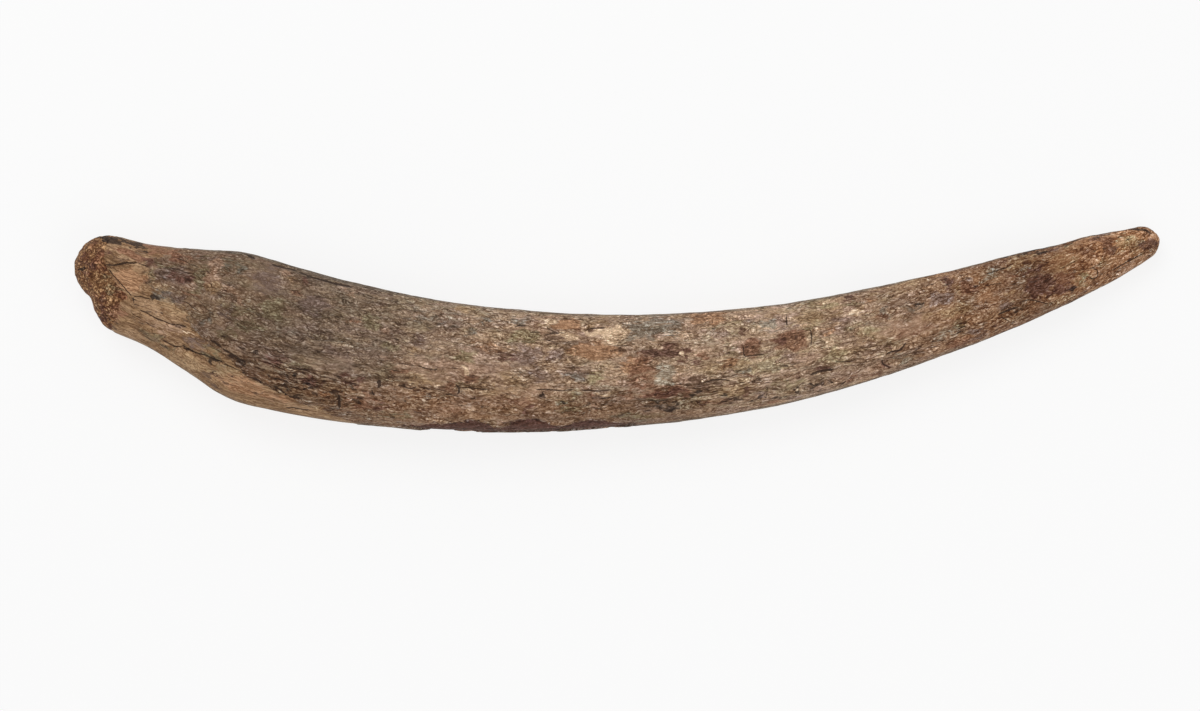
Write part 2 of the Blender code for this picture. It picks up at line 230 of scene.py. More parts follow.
# Marks seen from above in each tone: middle, half length and half width in the view's pixels, cover
marks = {
    "ochre": (
        (490, 386, 40, 6, 0.5), (720, 368, 40, 6, 0.5), (865, 345, 40, 8, 0.5), (1140, 248, 12, 8, 0.6),
        (175, 308, 24, 8, 0.6), (185, 362, 24, 8, 0.7), (225, 376, 20, 8, 0.6), (158, 288, 8, 3, 0.5),
        (210, 290, 6, 8, 0.5), (294, 283, 6, 6, 0.45), (315, 408, 20, 4, 0.8), (464, 311, 10, 3, 0.9),
        (410, 350, 14, 5, 0.6), (420, 381, 24, 6, 0.6), (510, 378, 16, 8, 0.6), (614, 338, 5, 4, 0.6),
        (572, 353, 7, 8, 0.8), (600, 324, 18, 3.5, 0.7), (760, 342, 8, 4, 0.8), (772, 315, 14, 5, 0.6),
        (812, 318, 14, 6, 0.7), (832, 313, 12, 6, 0.6), (738, 388, 20, 6, 0.7), (905, 288, 24, 6, 0.5),
        (955, 311, 18, 6, 0.9), (930, 313, 12, 5, 0.5), (962, 292, 5, 6, 0.6), (1022, 262, 16, 6, 0.8),
        (1062, 298, 14, 4, 0.7), (1065, 264, 16, 8, 0.5), (1015, 292, 12, 8, 0.5), (1138, 255, 12, 2, 0.8),
    ),
    "orange": (
        (128, 279, 16, 12, 1.0), (245, 386, 32, 11, 0.6), (275, 397, 24, 6, 0.55), (328, 391, 8, 3, 0.8),
        (490, 346, 24, 8, 0.45), (564, 325.5, 17, 5, 1.0), (595, 352, 26, 10, 0.9), (636, 366, 15, 10, 0.8),
        (710, 320, 20, 7, 0.8), (730, 362, 12, 5, 0.7), (828, 331, 12, 4, 0.6), (992, 296, 16, 7, 0.5),
        (1108, 259, 9, 6, 0.7), (1085, 262, 14, 5, 0.5), (1126, 250, 14, 11, 0.45), (870, 303, 8, 3, 0.6),
        (440, 398, 30, 4, 0.4),
    ),
    "pink": (
        (445, 370, 60, 10, 0.75), (520, 388, 40, 8, 0.55), (700, 352, 26, 8, 0.5), (735, 318, 30, 5, 0.5),
        (165, 328, 22, 8, 0.5), (214, 272, 8, 16, 0.85), (228, 293, 14, 4, 0.7), (240, 301, 5, 4, 0.9),
        (286, 275, 7, 5, 0.8), (185, 286, 14, 3, 0.5), (275, 400, 15, 4, 0.5), (350, 294, 12, 4, 0.6),
        (387, 332, 7, 5, 0.6), (350, 392, 10, 6, 0.5), (450, 357, 10, 5, 0.5), (405, 362, 24, 5, 0.6),
        (500, 368, 18, 4, 0.7), (541, 327, 6, 6, 0.95), (552, 318, 9, 1.8, 0.8), (610, 382, 14, 5, 0.6),
        (805, 360, 20, 6, 0.8), (852, 296, 12, 3, 0.8), (900, 314, 6, 2.5, 0.9), (918, 296, 12, 6, 0.5),
        (908, 328, 30, 10, 0.8), (890, 358, 6, 5, 0.6), (916, 347, 8, 5, 0.6), (942, 328, 8, 4, 0.6),
        (1128, 268, 14, 2.5, 0.8), (1095, 283, 10, 3, 0.6), (480, 405, 30, 7, 0.4), (590, 372, 8, 3, 0.4),
        (500, 424, 9, 2.5, 0.9), (431, 420, 10, 2, 0.7),
    ),
    "cream": (
        (188, 332, 12, 1.6, 0.6), (436, 385.5, 5, 3, 0.75), (430, 366, 14, 1.2, 0.55),
        (467, 370.5, 11, 1.3, 0.8), (547, 325, 2.6, 5.5, 1.0), (571, 337, 10, 5.5, 1.0),
        (600, 333, 17, 3.6, 1.1), (616, 337, 12, 7, 1.1), (586, 330, 8, 2.5, 0.8),
        (683, 355, 3.6, 3.6, 0.65), (701.5, 380, 2, 3, 1.0), (820, 335, 6, 2.5, 0.85),
        (828, 343, 6, 7, 0.8), (861, 311, 7, 5, 0.85), (605, 394, 8, 1.6, 0.8), (789, 314, 3, 4, 0.7),
        (940, 289, 6, 1.5, 0.5),
    ),
    "rust": (
        (115, 312, 10, 10, 0.6), (190, 295, 14, 3, 0.5), (128, 254, 20, 5, 0.9), (168, 253, 34, 6, 0.7),
        (300, 292, 12, 5, 0.3), (352, 322, 8, 3, 0.6), (365, 400, 20, 14, 0.5), (400, 372, 20, 3, 0.5),
        (450, 386, 10, 8, 0.5), (470, 379, 12, 7, 0.5), (580, 332, 8, 5, 0.5), (643, 366, 14, 14, 0.7),
        (640, 382, 14, 14, 0.6), (632, 392, 14, 6, 0.6), (668, 392, 21, 6, 1.0), (706, 355, 8, 5, 0.8),
        (753, 373, 4, 3, 0.8), (753, 347, 13, 10, 0.85), (792, 341, 21, 11, 0.9), (770, 401, 15, 2, 0.6),
        (880, 318, 10, 4, 0.5), (912, 331, 22, 7, 0.4), (972, 290, 8, 6, 0.8), (960, 342, 20, 3.5, 0.8),
        (1000, 266, 22, 3, 0.5), (1063, 280, 14, 5, 0.8), (1087, 250, 10, 8, 0.5), (1106, 245, 10, 10, 0.8),
        (592, 402, 8, 10, 0.5), (520, 400, 30, 8, 0.4), (440, 408, 40, 7, 0.35), (700, 400, 20, 6, 0.3),
        (1015, 278, 5, 3, 0.7), (870, 372, 30, 5, 0.5), (720, 400, 30, 4, 0.5), (850, 377, 24, 4, 0.5),
    ),
    "maroon": (
        (95, 250, 16, 9, 0.45), (86, 270, 9, 12, 0.45), (103, 314, 9, 10, 0.6), (147, 262, 9, 4, 0.8),
        (181, 262, 10, 3.5, 0.6), (183, 280, 14, 3, 0.6), (304, 284, 8, 6, 0.75), (278, 358, 11, 9, 0.6),
        (310, 380, 12, 6, 0.7), (350, 378, 14, 4, 0.6), (380, 402, 8, 10, 0.35), (508, 357, 10, 6, 0.6),
        (656, 352, 9, 5, 0.9), (683, 355, 11, 9, 0.8), (672, 350, 18, 6, 0.8), (668, 393, 20, 5, 0.8),
        (703, 363, 8, 4, 0.6), (525, 405, 8, 5, 0.6), (745, 333, 6, 5, 0.8), (780, 342, 6, 5, 0.7),
        (800, 373, 5, 4, 0.8), (822, 369, 14, 3, 0.85), (848, 301, 8, 2.5, 0.9), (950, 287, 8, 4, 0.9),
        (886, 364, 6, 3, 0.7), (1040, 285, 15, 12, 0.95), (1035, 270, 12, 4, 0.7), (1062, 288, 14, 4, 0.85),
        (1055, 247, 12, 2, 0.7), (1148, 243, 9, 8, 0.85), (748, 392, 5, 6, 0.6), (990, 322, 12, 4, 0.45),
        (895, 348, 9, 2.5, 0.6),
    ),
    "brown": (
        (118, 258, 16, 1.6, 0.5), (155, 260, 26, 5, 0.45), (140, 250, 18, 3, 0.5), (265, 355, 26, 12, 0.35),
        (552, 337, 9, 4, 0.95), (545, 393, 4, 3, 0.8), (640, 398, 12, 4, 0.7), (696, 383, 11, 8, 0.8),
        (215, 386, 8, 4, 0.5), (918, 350, 4, 3, 0.8), (232, 382, 12, 2, 0.5), (214, 374, 16, 2.4, 0.55),
        (262, 393, 18, 2, 0.5), (150, 339, 12, 4, 0.5), (622, 351, 7, 4, 0.4), (718, 381, 12, 3, 0.7),
    ),
    "dark": (
        (104, 237, 14, 2, 1.0), (114, 239, 12, 2.6, 1.2), (125, 242, 12, 2.8, 1.2),
        (137, 245.5, 12, 1.8, 1.0), (80, 270, 3, 2.4, 1.0), (153, 297, 9, 3, 0.8), (154, 299, 7, 2, 0.6),
        (187, 350, 7, 2, 0.7), (205, 359, 10, 1.6, 0.7), (256, 353, 4, 1.6, 0.7), (287, 375, 4, 3, 0.6),
        (294, 380, 2.5, 4, 0.6), (313, 383, 4, 2.4, 0.6), (307, 385, 2.4, 3, 0.6),
        (633, 353, 2.5, 1.5, 0.7), (569, 398, 2, 3, 1.0), (594, 401, 2, 3, 1.0), (655, 405, 22, 4.5, 0.62),
        (701, 391, 7, 2, 0.8), (690, 393, 4, 3, 0.7), (830, 368, 5, 1.6, 0.8), (797, 391, 8, 2.4, 0.7),
        (1072, 285, 5, 2.5, 0.6), (1068, 290, 5, 3, 0.6), (1040, 251, 22, 1.8, 0.8),
        (1080, 240, 18, 2, 0.8), (1010, 257, 14, 1.6, 0.6), (1120, 231, 20, 1.6, 0.6),
        (1013, 309, 7, 2, 0.8), (230, 253.5, 4, 1.6, 0.9), (723, 395, 4, 1.4, 0.8), (546, 393, 3, 2, 0.7),
        (745, 398, 26, 3, 0.45), (790, 393, 22, 3, 0.4), (825, 384, 20, 3, 0.35),
    ),
    "slate": (
        (163, 296, 18, 6, 0.7), (206, 319, 6, 8, 0.5), (652, 329, 30, 11, 0.8), (234, 272, 13, 16, 0.4),
        (486, 322, 10, 4, 0.6), (472, 333, 9, 5, 0.6), (522, 322, 14, 5, 0.5), (430, 320, 34, 10, 0.35),
        (435, 350, 10, 8, 0.4), (640, 337, 14, 6, 0.6), (668, 330, 12, 12, 0.5), (666, 375, 14, 12, 0.7),
        (748, 371, 8, 3, 0.6), (765, 328, 16, 8, 0.5), (885, 311, 7, 9, 0.6), (910, 308, 13, 5, 0.5),
        (905, 357, 12, 6, 0.5), (980, 322, 5, 3, 0.4), (335, 405, 10, 6, 0.4), (572, 378, 14, 5, 0.45),
        (800, 308, 14, 4, 0.5), (610, 395, 10, 3, 0.5), (715, 381, 8, 2.5, 0.5),
    ),
    "olive": (
        (112, 285, 12, 12, 0.45), (165, 267, 10, 3, 0.7), (152, 276, 6, 8, 0.6), (200, 282, 8, 14, 0.8),
        (238, 262, 10, 8, 0.5), (150, 338, 12, 5, 0.7), (212, 352, 10, 8, 0.7), (272, 310, 12, 14, 0.8),
        (240, 311, 20, 8, 0.5), (250, 326, 20, 6, 0.6), (228, 333, 14, 8, 0.5), (300, 360, 20, 8, 0.5),
        (350, 405, 8, 5, 0.5), (385, 412, 14, 6, 0.5), (408, 412, 8, 5, 0.5), (372, 322, 13, 8, 0.8),
        (468, 358, 10, 5, 0.8), (392, 348, 10, 6, 0.7), (526, 337, 19, 6, 0.95), (592, 378, 10, 7, 0.8),
        (570, 400, 16, 12, 0.5), (635, 415, 26, 5, 0.5), (725, 352, 14, 8, 0.4), (762, 367, 26, 6, 0.7),
        (812, 326, 12, 5, 0.6), (836, 355, 11, 11, 0.8), (850, 307, 10, 3, 0.5), (873, 332, 10, 5, 0.7),
        (958, 323, 9, 3, 0.6), (1083, 277, 5, 7, 0.8), (1068, 247, 9, 4, 0.5), (790, 384, 26, 6, 0.5),
        (1128, 245, 12, 9, 0.7), (232, 268, 14, 14, 0.5), (222, 372, 18, 5, 0.55), (1105, 262, 10, 5, 0.5),
        (780, 358, 60, 16, 0.42), (860, 330, 40, 10, 0.35), (720, 396, 50, 5, 0.5), (820, 304, 20, 7, 0.6),
        (745, 330, 50, 9, 0.35), (655, 398, 30, 5, 0.4), (495, 340, 14, 3, 0.4), (160, 345, 16, 4, 0.4),
        (205, 258, 12, 4, 0.4), (700, 405, 26, 4, 0.4), (440, 304, 50, 7, 0.4), (760, 391, 30, 4, 0.5),
    ),
    "plum": (
        (172, 297, 13, 5, 0.9), (175, 278, 20, 8, 0.8), (195, 343, 16, 6, 0.7), (222, 313, 10, 7, 0.5),
        (264, 282, 15, 16, 0.6), (312, 307, 16, 12, 0.8), (420, 340, 14, 8, 0.5), (452, 377, 8, 5, 0.7),
        (525, 355, 17, 10, 0.9), (556, 355, 10, 6, 0.7), (538, 374, 8, 8, 0.7), (572, 374, 17, 8, 0.6),
        (722, 335, 9, 5, 0.7), (750, 320, 8, 6, 0.5), (785, 324, 12, 6, 0.7), (792, 356, 8, 5, 0.7),
        (818, 355, 8, 4, 0.5), (760, 395, 10, 6, 0.6), (795, 398, 8, 4, 0.6), (843, 322, 10, 5, 0.6),
        (868, 344, 11, 6, 0.7), (942, 297, 13, 7, 0.9), (934, 303, 8, 4, 0.8), (970, 284, 9, 3, 0.5),
        (975, 333, 9, 6, 0.7), (1103, 237, 11, 3, 0.8), (1005, 306, 13, 4, 0.6), (1085, 290, 9, 3, 0.5),
        (330, 345, 60, 12, 0.3),
    ),
    "pale": (
        (345, 308, 17, 8, 0.5), (285, 331, 20, 8, 0.4), (645, 330, 19, 12, 0.3), (666, 375, 13, 12, 0.7),
        (705, 343, 20, 8, 0.6), (770, 366, 30, 5, 0.4), (885, 299, 12, 7, 0.5), (950, 331, 17, 6, 0.6),
        (905, 357, 14, 6, 0.5), (992, 277, 12, 5, 0.7), (1045, 305, 18, 5, 0.5), (605, 386, 16, 4, 0.5),
        (360, 345, 30, 6, 0.35), (500, 312, 40, 4, 0.3), (440, 312, 60, 10, 0.35),
    ),
}
# marks on the sides and below: along, degrees round, half length and half width in mm, cover
lowMarks = {
    "ochre": ((60, 250, 36, 14, 0.7), (330, 300, 40, 9, 0.7), (560, 250, 40, 9, 0.7)),
    "orange": ((110, 215, 40, 9, 0.7), (480, 305, 26, 7, 0.7), (600, 270, 16, 7, 0.7)),
    "pink": ((160, 236, 22, 8, 0.7), (420, 250, 20, 7, 0.7), (52, 300, 20, 9, 0.6)),
    "cream": ((250, 262, 12, 4, 0.9), (395, 296, 9, 3.5, 0.9)),
    "rust": ((205, 285, 26, 9, 0.8), (355, 232, 22, 7, 0.8), (520, 282, 18, 7, 0.8)),
    "maroon": ((232, 240, 14, 5, 0.8), (455, 266, 12, 5, 0.8), (575, 300, 14, 5, 0.7)),
    "brown": ((140, 300, 24, 8, 0.6), (300, 215, 26, 6, 0.6)),
    "dark": ((30, 335, 7, 3, 0.6), (410, 222, 10, 3, 0.8)),
    "slate": ((150, 272, 26, 9, 0.7), (290, 250, 20, 8, 0.7), (440, 320, 24, 7, 0.6)),
    "olive": ((95, 322, 24, 9, 0.6), (325, 268, 24, 8, 0.7), (500, 228, 24, 7, 0.6)),
    "plum": ((180, 330, 30, 9, 0.6), (380, 275, 20, 7, 0.7), (540, 325, 20, 6, 0.6)),
    "pale": ((265, 300, 24, 8, 0.6), (470, 240, 20, 7, 0.6)),
}
# more of them, scattered: how many in each tone, and the range of each of the same numbers
sideMarks = {
    "seed": 11, "each": 9, "along": (70, 608), "around": (192, 350), "long": (5, 24),
    "wide": (2.5, 7), "cover": (0.5, 1),
}
# the tones that share one attribute of the mesh
toneSets = {
    "warmTones": ("ochre", "orange", "pink", "cream"),
    "deepTones": ("rust", "maroon", "brown", "dark"),
    "coolTones": ("slate", "olive", "plum", "pale"),
}
# patches worn smooth, in the same form as the marks seen from above
smoothed = (
    (128, 279, 18, 14, 0.9), (262, 282, 17, 17, 0.8), (320, 362, 34, 9, 0.8), (564, 325, 17, 5, 0.5),
    (595, 351, 22, 8, 0.4), (905, 328, 28, 10, 0.8), (715, 381, 10, 3, 0.8), (995, 296, 14, 6, 0.45),
    (1068, 262, 12, 6, 0.5), (600, 334, 24, 5, 0.6), (570, 337, 10, 5, 0.5), (455, 370, 60, 12, 0.5),
    (520, 392, 40, 8, 0.4), (235, 388, 30, 10, 0.6), (425, 380, 20, 5, 0.5),
)
# ragged hollows rotted into the outer layer, in the form of the marks on the sides
hollows = (
    (124, 116, 12, 6, 0.7), (142, 120, 18, 7, 0.75), (165, 120, 22, 8, 0.6), (112, 110, 12, 5, 0.6),
    (190, 114, 30, 9, 0.45), (375, 108, 30, 6, 0.4), (345, 118, 16, 6, 0.4), (420, 100, 40, 10, 0.3),
    (600, 90, 20, 12, 0.35), (550, 95, 26, 10, 0.35), (300, 118, 20, 8, 0.45), (250, 120, 26, 6, 0.4),
    (170, 300, 90, 22, 0.35), (380, 250, 110, 20, 0.3),
)
# the outer layer: along, how light it is above and on the outside, how warm above and on the
# outside, how calm its grain is
weather = (
    (40, 1.0, 1.0, 0.4, 0.5, 0.3), (90, 0.93, 0.92, 0.35, 0.6, 0.2), (150, 0.96, 0.96, 0.12, 0.7, 0.08),
    (200, 1.27, 1.2, 0.15, 0.7, 0.06), (240, 1.6, 1.26, 0.2, 0.7, 0.1), (280, 1.68, 1.15, 0.2, 0.65, 0.05),
    (330, 1.8, 1.12, 0.2, 0.5, 0.08), (400, 1.98, 1.66, 0.1, 0.2, 0.15), (470, 1.55, 1.58, 0.4, 0.4, 0.05),
    (515, 1.38, 1.36, 0.85, 0.85, 0.0), (550, 1.0, 1.05, 1.0, 1.0, 0.0), (600, 2.05, 1.75, 1.0, 1.0, 0.0),
    (623, 1.9, 1.55, 0.9, 0.9, 0.0),
)
# where long thin cracks lie close together, in the form of the marks seen from above
threaded = (
    (300, 368, 50, 26, 1.0), (262, 348, 40, 14, 0.7), (335, 392, 40, 14, 0.8), (440, 385, 90, 22, 0.6),
    (500, 372, 110, 14, 0.6), (185, 276, 34, 12, 0.7), (1060, 270, 60, 24, 0.3), (900, 345, 90, 14, 0.6),
    (720, 388, 90, 14, 0.8), (225, 358, 30, 8, 0.6),
)
# short cracks all over the outer layer, at least so far from its edge as clear says
fissures = {
    "seed": 7, "count": 110, "along": (70, 600), "half": (2, 7), "clear": 4, "sway": 2.5,
    "depth": (0.25, 0.5), "width": (0.2, 0.45),
}
# unevenness: how much, size in mm (along, across and up where they differ), octaves, seed
unevenShapes = {
    "barkEdge": (1.2, 3.5, 3, 11), "coreEdge": (0.5, 2.5, 2, 5), "strayX": (9, (9, 4, 4), 2, 81),
    "strayY": (5, (7, 4, 4), 2, 91), "broad": (1, (40, 16, 16), 3), "ridges": (1, (50, 7, 7), 2),
    "spongeLumps": (1, 7, 3), "spongePits": (1, 1.8, 2, 3), "beds": (0.12, (5, 2.5, 2.5), 3, 21),
    "stripEdge": (4, (2.4, 1.8, 1.8), 2, 8), "stripEnd": (26, (16, 400, 400), 3, 61),
    "layers": (3.2, (34, 7, 7), 3, 31), "layerEdges": (0.6, (6, 2.2, 2.2), 2, 33),
    "fibres": (1, (11, 1.5, 1.5), 2, 41), "crackSway": (1, (7, 40, 40), 2, 55),
    "rot": (1, (5.5, 1.6, 1.6), 2, 71),
}
# how high or deep each kind of relief is in mm, the share of their depth that seen lines get,
# half the width in mm of the narrowest cut, and how far from its middle a flute has faded
relief = {
    "broad": 0.8, "ivoryRidges": 0.3, "barkRidges": 1.1, "spongeLumps": 1.0, "spongePits": 0.3,
    "layers": 0.16, "fibres": 0.2, "ivoryFibres": 0.08, "hollows": 0.8, "seenLines": 0.6,
    "narrowest": 0.6, "fluteDegrees": 8.0,
}


def ease(share):
    share = np.clip(share, 0, 1)
    return share * share * (3 - 2 * share)


# The value at a place on the smooth curve through a table's stations.
def through(stations, at, column=1):
    x = np.array([station[0] for station in stations], float)
    y = np.array([station[column] for station in stations], float)
    last = len(x) - 1
    index = np.arange(last + 1)
    before, after = np.maximum(index - 1, 0), np.minimum(index + 1, last)
    slope = (y[after] - y[before]) / (x[after] - x[before])
    at = np.clip(at, x[0], x[-1])
    i = np.clip(np.searchsorted(x, at, side="right") - 1, 0, last - 1)
    span = x[i + 1] - x[i]
    t = (at - x[i]) / span
    rise = y[i + 1] - y[i]
    first, second = slope[i] * span, slope[i + 1] * span
    return y[i] + first * t + (3 * rise - 2 * first - second) * t**2 + (first + second - 2 * rise) * t**3


def signedPower(value, power):
    return np.sign(value) * np.abs(value) ** power


def degreesBetween(a, b):
    return (a - b + 180) % 360 - 180


# About how long a degree round the tusk is.
def mmPerDegree(along):
    return np.radians(1) * (through(reach, along, 3) + through(reach, along, 1)) / 2


# Smooth unevenness of a given size in mm, at each of the places.
def unevenness(places, size, octaves, seed=0.0, smoothness=0.9, finer=2.0):
    scaled = places / np.array(size, float) + seed
    return np.array([noise.fractal(at, smoothness, finer, octaves) for at in scaled.tolist()])


# Where the smooth skin of the straight tusk is, the middle of the tusk beside it, and how much of
# its size is left where the ends round off.
def ovalPoint(along, around):
    inside, outside, halfThick = (through(reach, along, k) for k in (1, 2, 3))
    rounding = np.ones_like(along)
    for distance, size in ((along, tusk["rootRound"]), (tusk["length"] - along, tusk["tipRound"])):
        near = distance < size
        rounding[near] = np.sqrt(np.maximum(0, 1 - (1 - distance[near] / size) ** 2))
    pole = np.where(along < tusk["length"] / 2, tusk["rootPole"], tusk["tipPole"])
    high = pole + (inside - pole) * rounding
    low = pole - (outside + pole) * rounding
    lift = through(underside, along)
    turn = np.radians(around)
    power = 2 / tusk["ovalPower"]
    across = (high + low) / 2 + (high - low) / 2 * signedPower(np.cos(turn), power)
    up = lift + halfThick * (1 + rounding * signedPower(np.sin(turn), power))
    spineAlong = np.clip(along, tusk["rootRound"], tusk["length"] - tusk["tipRound"])
    point = np.stack((along, across, up), 1)
    spine = np.stack((spineAlong, (high + low) / 2, lift + halfThick), 1)
    return point, spine, rounding


# Where each ring of points lies along the tusk: closest near the root, rounded in at both ends.
def ringPlaces():
    rootRings, tipRings = tusk["rootRings"], tusk["tipRings"]
    start, end = tusk["rootRound"], tusk["length"] - tusk["tipRound"]
    root = start * (1 - np.cos(quarterTurn * np.arange(rootRings + 1) / rootRings))
    tip = tusk["length"] - tusk["tipRound"] * (1 - np.cos(quarterTurn * np.arange(tipRings + 1) / tipRings))
    fine = np.linspace(start, end, 4000)
    x, step = zip(*tusk["ringStep"])
    count = np.concatenate(([0], np.cumsum(np.diff(fine) / np.interp(fine[1:], x, step))))
    between = tusk["rings"] - rootRings - tipRings
    body = np.interp(np.linspace(0, count[-1], between + 1), count, fine)
    return np.concatenate((root[:-1], body, tip[::-1][1:]))


# How much the chip takes off the height of each point, were it all bare ivory.
def chipped(point, along):
    at, spine, _ = ovalPoint(np.array([chip["along"]]), np.array([90.0]))
    side, _, _ = ovalPoint(np.array([chip["along"]]), np.array([0.0]))
    halfAcross = side[0, 1] - spine[0, 1]
    share = abs((chip["across"] - spine[0, 1]) / halfAcross) ** tusk["ovalPower"]
    crown = spine[0, 2] + (at[0, 2] - spine[0, 2]) * (1 - share) ** (1 / tusk["ovalPower"])
    plane = (
        crown
        - chip["depth"]
        + chip["slope"] * (point[:, 0] - chip["along"])
        - chip["lean"] * (point[:, 1] - chip["across"])
    )
    away = np.abs(point[:, 0] - chip["along"]) / chip["reach"]
    return np.maximum(0, point[:, 2] - plane) * ease((1.2 - away) / 0.2)


# The straight tusk bent round, with its middle at the origin and nothing below the floor.
def bent(point):
    turn = (point[:, 0] - tusk["bendLowest"]) / tusk["bendRadius"]
    radius = tusk["bendRadius"] - point[:, 1]
    shiftX, shiftY = tusk["originShift"]
    x = radius * np.sin(turn) - shiftX
    y = tusk["bendRadius"] - radius * np.cos(turn) - shiftY
    return np.stack((x, y, np.maximum(0, point[:, 2])), 1)


# Where the view shows each place, in its pixels.
def seenAt(placed):
    eyeX, eyeY, eyeZ = overhead["place"]
    wide, high = overhead["viewSize"]
    away = eyeZ - placed[:, 2]
    x = wide / 2 + (placed[:, 0] - eyeX) * viewScale / away
    y = high / 2 - (placed[:, 1] - eyeY) * viewScale / away
    return x, y


# How far each place is from a line through some points, negative to the left of its run, how
# far along the line the nearest point is, and the line's length.
def awayFromLine(x, y, points):
    nearest = np.full_like(x, 1e3)
    reached = np.zeros_like(x)
    total = sum(math.dist(a, b) for a, b in zip(points, points[1:]))
    passed = 0.0
    for (x1, y1), (x2, y2) in zip(points, points[1:]):
        long = math.dist((x1, y1), (x2, y2))
        goX, goY = (x2 - x1) / long, (y2 - y1) / long
        share = (x - x1) * goX + (y - y1) * goY
        side = (y - y1) * goX - (x - x1) * goY
        past = share - np.clip(share, 0, long)
        away = np.where(side < 0, -1, 1) * np.hypot(side, past)
        closer = np.abs(away) < np.abs(nearest)
        nearest[closer] = away[closer]
        reached[closer] = (passed + np.clip(share, 0, long))[closer]
        passed += long
    return nearest, reached, total


# Short cracks scattered all over the outer layer.
def fissureCourses():
    random.seed(fissures["seed"])
    made = []
    while len(made) < fissures["count"]:
        along = random.uniform(*fissures["along"])
        around = random.uniform(0, 360)
        half = random.uniform(*fissures["half"])
        if along - half < float(through(barkEdge, np.array([around]))[0]) + fissures["clear"]:
            continue
        sway = random.uniform(-fissures["sway"], fissures["sway"])
        depth = random.uniform(*fissures["depth"])
        width = random.uniform(*fissures["width"])
        made.append((along, around, half, depth, width, sway))
    return made


def moreSideMarks():
    random.seed(sideMarks["seed"])
    spans = [sideMarks[key] for key in ("along", "around", "long", "wide", "cover")]
    scattered = {}
    for name in marks:
        scattered[name] = [[random.uniform(*span) for span in spans] for _ in range(sideMarks["each"])]
    return scattered


def deselectAll():
    if bpy.context.object and bpy.context.object.mode != "OBJECT":
        bpy.ops.object.mode_set(mode="OBJECT")
    bpy.ops.object.select_all(action="DESELECT")


# Stores three or four numbers for each point of the mesh.
def storeValues(mesh, name, *columns):
    kind, field = {3: ("FLOAT_VECTOR", "vector"), 4: ("FLOAT_COLOR", "color")}[len(columns)]
    layer = mesh.attributes.new(name, kind, "POINT")
    layer.data.foreach_set(field, np.stack(columns, 1).astype(np.float32).ravel())


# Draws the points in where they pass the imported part's box.
def keptInBox(placed):
    low, high = (np.array(list(corner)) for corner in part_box("tusk"))
    middle = (low + high) / 2
    for axis in (0, 1):
        off = placed[:, axis] - middle[axis]
        placed[:, axis] = middle[axis] + off * min(1, (high[axis] - low[axis]) / 2 / np.abs(off).max())
    placed[:, 2] *= min(1, high[2] / placed[:, 2].max())
    return placed


# A ball whose rings and columns lie along and round the tusk, closest on its upper side.
def startGrid():
    deselectAll()
    bpy.ops.mesh.primitive_uv_sphere_add(segments=tusk["columns"], ring_count=tusk["rings"], radius=1)
    piece = bpy.context.object
    piece.name = "fossilTusk"
    piece.data.name = "fossilTusk"
    start = np.zeros(len(piece.data.vertices) * 3)
    piece.data.vertices.foreach_get("co", start)
    x, y, z = start.reshape(-1, 3).T
    ring = np.rint(np.arctan2(np.hypot(x, y), z) / math.pi * tusk["rings"]).astype(int)
    turn = np.arctan2(y, x)
    turn = turn + tusk["topDenser"] * np.cos(turn)
    return piece, ringPlaces()[ring], np.degrees(turn) % 360


